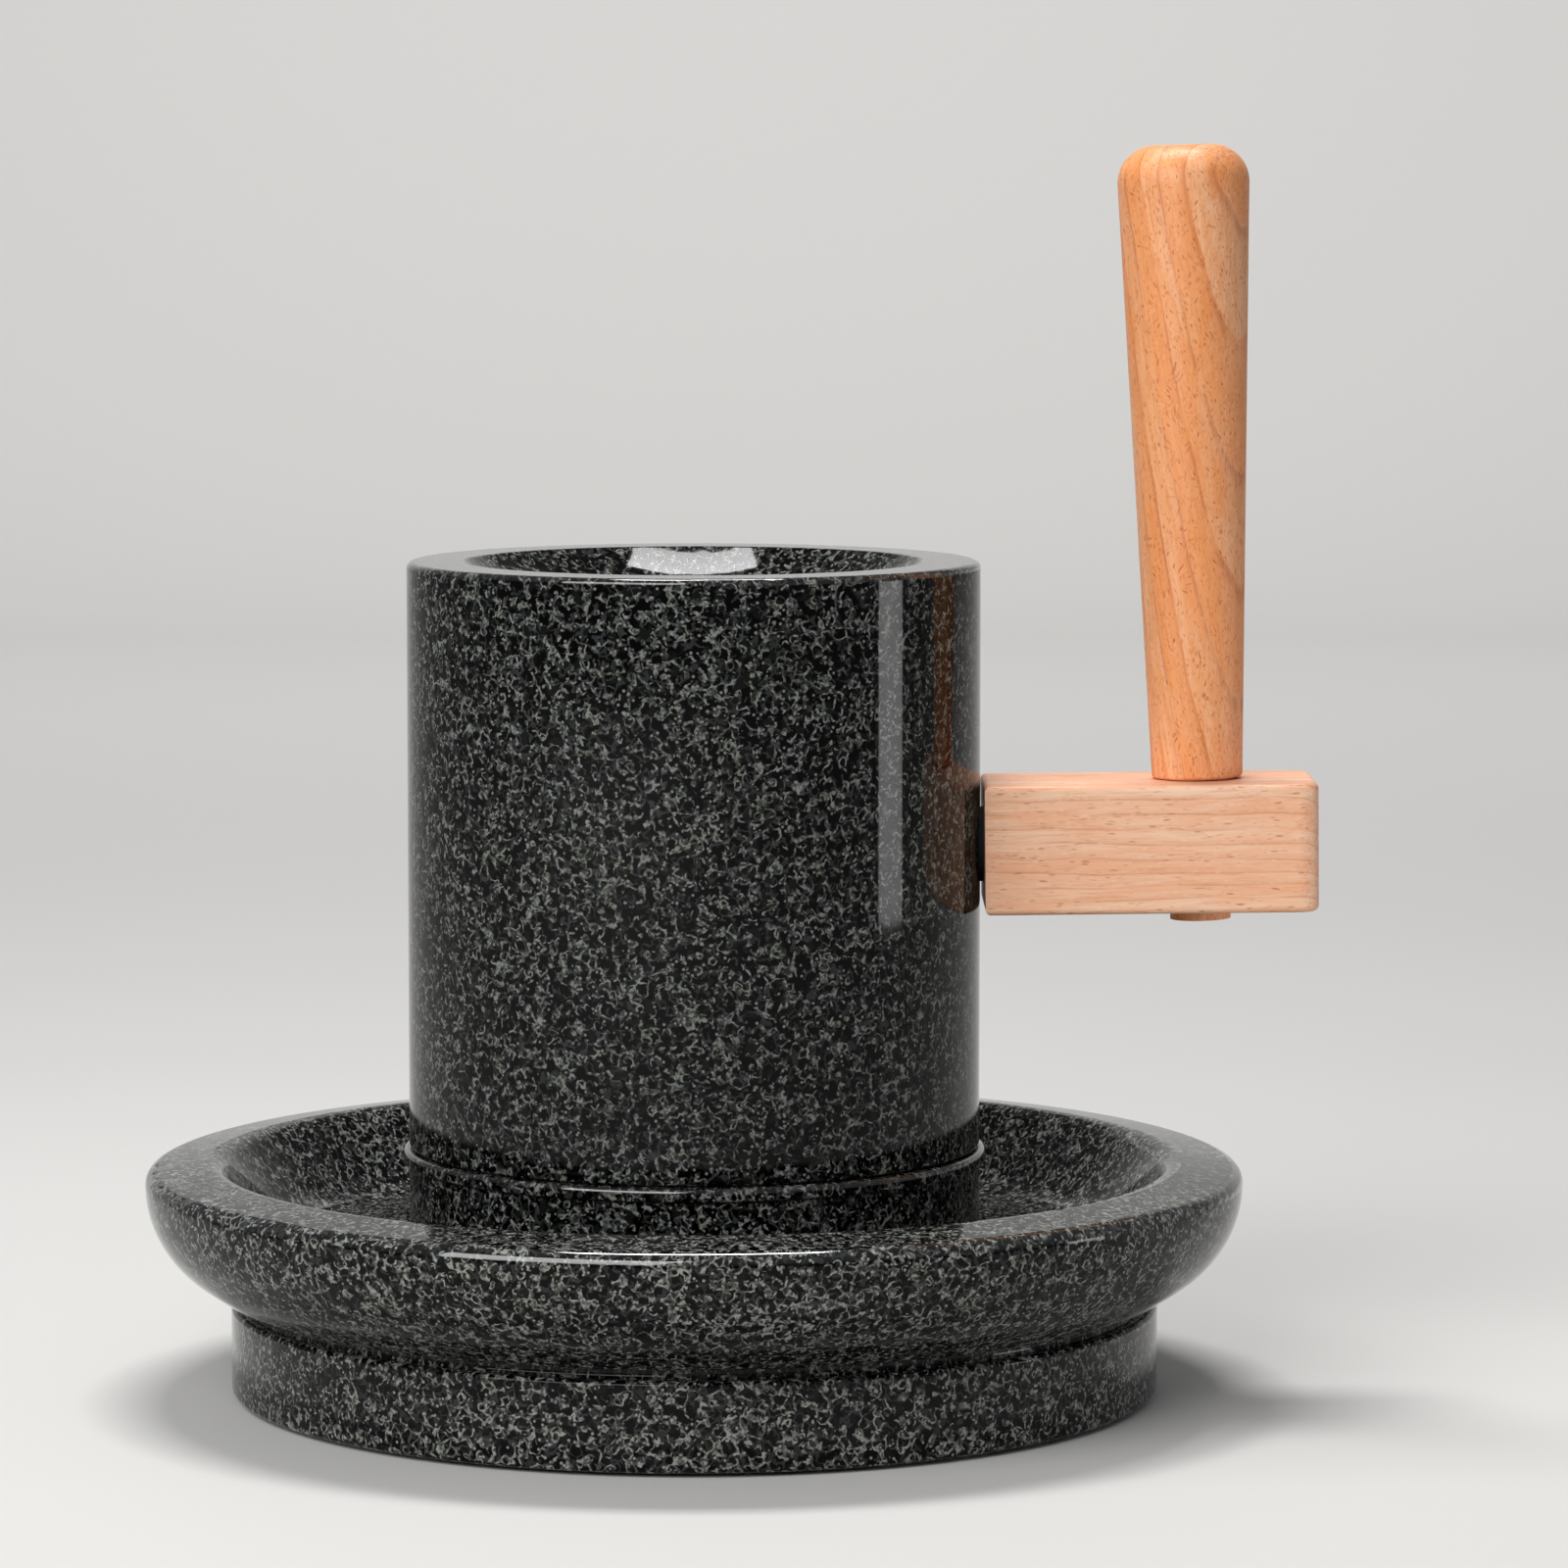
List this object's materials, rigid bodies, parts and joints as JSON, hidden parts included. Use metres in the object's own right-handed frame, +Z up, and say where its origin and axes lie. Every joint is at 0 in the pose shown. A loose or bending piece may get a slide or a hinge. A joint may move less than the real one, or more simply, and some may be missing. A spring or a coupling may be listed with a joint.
{
  "type": "hand-cranked stone mill",
  "caption": "Stone mill for tea: round tray with a foot, two cylindrical grinding stones, a hollowed hopper top, and a wooden crank arm with an upright turning grip.",
  "frame": {"origin": "on the mill's vertical axis, in the plane it stands on", "axes": "+Z up, +X from the axis towards the crank arm and grip, +Y completes the right-handed frame"},
  "size_m": [0.2661, 0.25, 0.2835],
  "materials": {
    "tray_granite": "polished dark granite with fine pale flakes",
    "stone_granite": "polished dark granite with fine pale flakes",
    "rubber": "matte",
    "cork": "pressed cork",
    "stainless": "fine turned stainless steel",
    "bearing_steel": "ground bearing steel",
    "cage_polymer": "moulded polyamide",
    "brass": "turned brass",
    "arm_wood": "oiled pale beech",
    "grip_wood": "oiled orange-brown beech"
  },
  "bodies": {
    "base": {"tray_base": "tray_granite", "base_mat": "rubber", "seat_gasket": "cork", "lower_stone": "stone_granite", "centre_shaft": "stainless", "shaft_washer": "stainless", "shaft_nut": "stainless", "gap_shim": "stainless"},
    "bearing_seat": {"bearing_inner_ring": "bearing_steel"},
    "ball_cage": {"bearing_cage": "cage_polymer", "bearing_balls": "bearing_steel"},
    "runner": {"bearing_outer_ring": "bearing_steel", "bearing_shields": "bearing_steel", "upper_stone": "stone_granite", "bearing_carrier": "stainless", "bearing_circlip": "bearing_steel", "feed_cap": "stainless", "carrier_anchors": "brass", "carrier_screws": "stainless", "arm_anchor": "brass", "arm_stud": "stainless", "arm_washer": "rubber", "arm_insert": "brass", "arm": "arm_wood", "thrust_washer": "stainless"},
    "grip": {"grip": "grip_wood", "keeper_disc": "grip_wood", "keeper_screw": "stainless"}
  },
  "joints": [
    {"name": "runner_lift", "type": "slide", "parent": "base", "child": "bearing_seat", "axis": [0, 0, 1], "range_m": [0, 0.07]},
    {"name": "runner_spin", "type": "hinge", "parent": "bearing_seat", "child": "runner", "pos_m": [0, 0, 0], "axis": [0, 0, 1], "continuous": true},
    {"name": "cage_spin", "type": "hinge", "parent": "bearing_seat", "child": "ball_cage", "pos_m": [0, 0, 0], "axis": [0, 0, 1], "continuous": true},
    {"name": "grip_spin", "type": "hinge", "parent": "runner", "child": "grip", "pos_m": [0.11429, 0, 0.14022], "axis": [-0.029, 0, 0.9996], "continuous": true}
  ],
  "couplings": [
    {"joint": "cage_spin", "follows": "runner_spin", "ratio": 0.63228}
  ]
}
